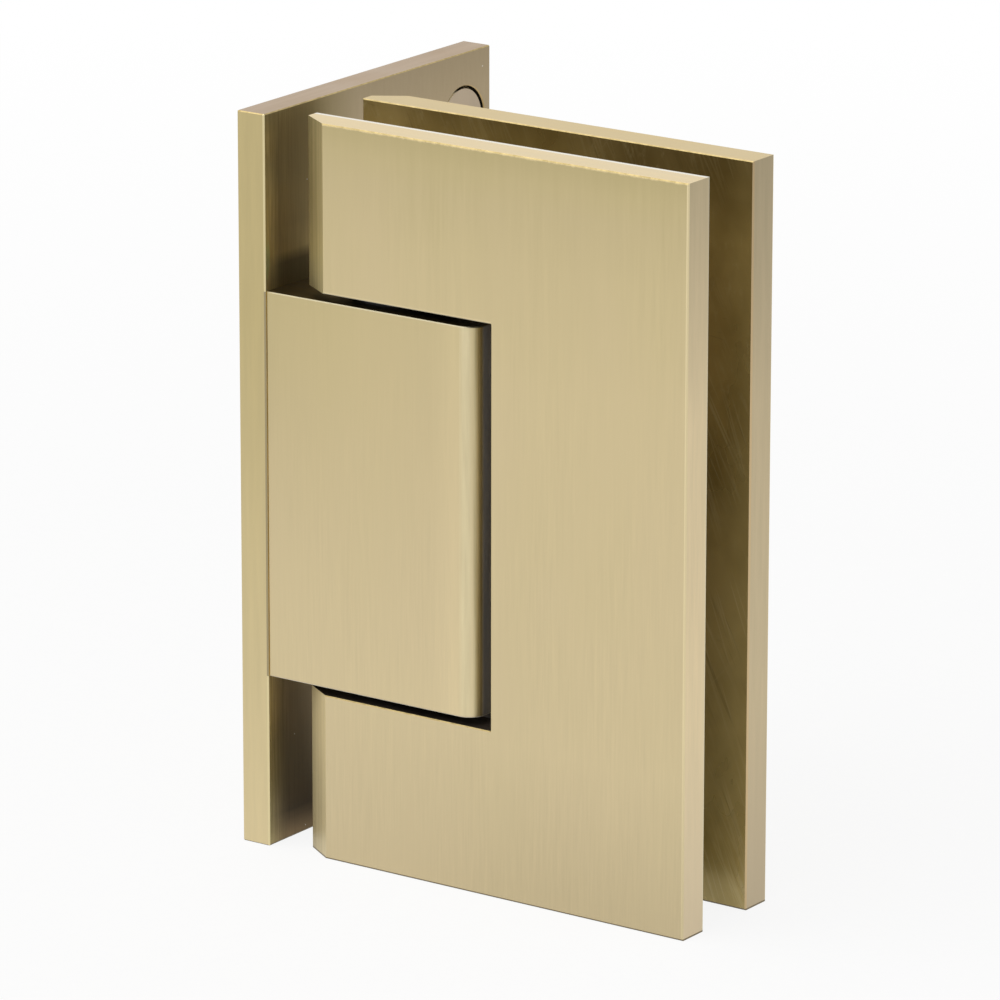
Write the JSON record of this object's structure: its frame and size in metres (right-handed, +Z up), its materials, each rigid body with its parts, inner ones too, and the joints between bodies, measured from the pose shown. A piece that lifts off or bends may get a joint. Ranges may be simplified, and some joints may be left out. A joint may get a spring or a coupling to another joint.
{
  "type": "shower door hinge",
  "caption": "Wall-mounted glass shower door hinge with an offset wall plate, a pivot block and two notched clamp plates that grip the glass and swing both ways.",
  "frame": {"origin": "on the face that lies against the wall, at mid height, in the plane of the pivot pin and the glass", "axes": "+X from the wall into the door, -Y to the front of the door, +Z up"},
  "size_m": [0.0794, 0.0456, 0.09],
  "materials": {
    "satin_brass": "satin, brushed upright",
    "screw_brass": "satin, turned",
    "pin_steel": "ground",
    "spring_steel": "drawn wire",
    "bearing_plastic": "moulded, dull"
  },
  "bodies": {
    "wall_side": {"wall_plate": "satin_brass", "wall_screws": "screw_brass", "pivot_block": "satin_brass", "block_screws": "pin_steel", "upper_bushing": "bearing_plastic", "lower_bushing": "bearing_plastic", "upper_washer": "bearing_plastic", "lower_washer": "bearing_plastic", "upper_spring": "spring_steel", "lower_spring": "spring_steel"},
    "upper_plunger_body": {"upper_plunger": "pin_steel"},
    "lower_plunger_body": {"lower_plunger": "pin_steel"},
    "door_leaf": {"front_clamp_plate": "satin_brass", "rear_clamp_plate": "satin_brass", "clamp_screws": "pin_steel", "pivot_pin": "pin_steel", "upper_carrier": "satin_brass", "lower_carrier": "satin_brass", "carrier_screws": "pin_steel", "pin_set_screws": "pin_steel"}
  },
  "joints": [
    {"name": "door_swing", "type": "hinge", "parent": "wall_side", "child": "door_leaf", "pos_m": [0.018, 0, 0], "axis": [0, 0, 1], "range_deg": [-90, 90]},
    {"name": "upper_detent", "type": "slide", "parent": "wall_side", "child": "upper_plunger_body", "axis": [1, 0, 0], "range_m": [0, 0.0005], "stiffness_N_per_m": 400, "deforming": ["upper_spring"]},
    {"name": "lower_detent", "type": "slide", "parent": "wall_side", "child": "lower_plunger_body", "axis": [1, 0, 0], "range_m": [0, 0.0005], "stiffness_N_per_m": 400, "deforming": ["lower_spring"]}
  ]
}
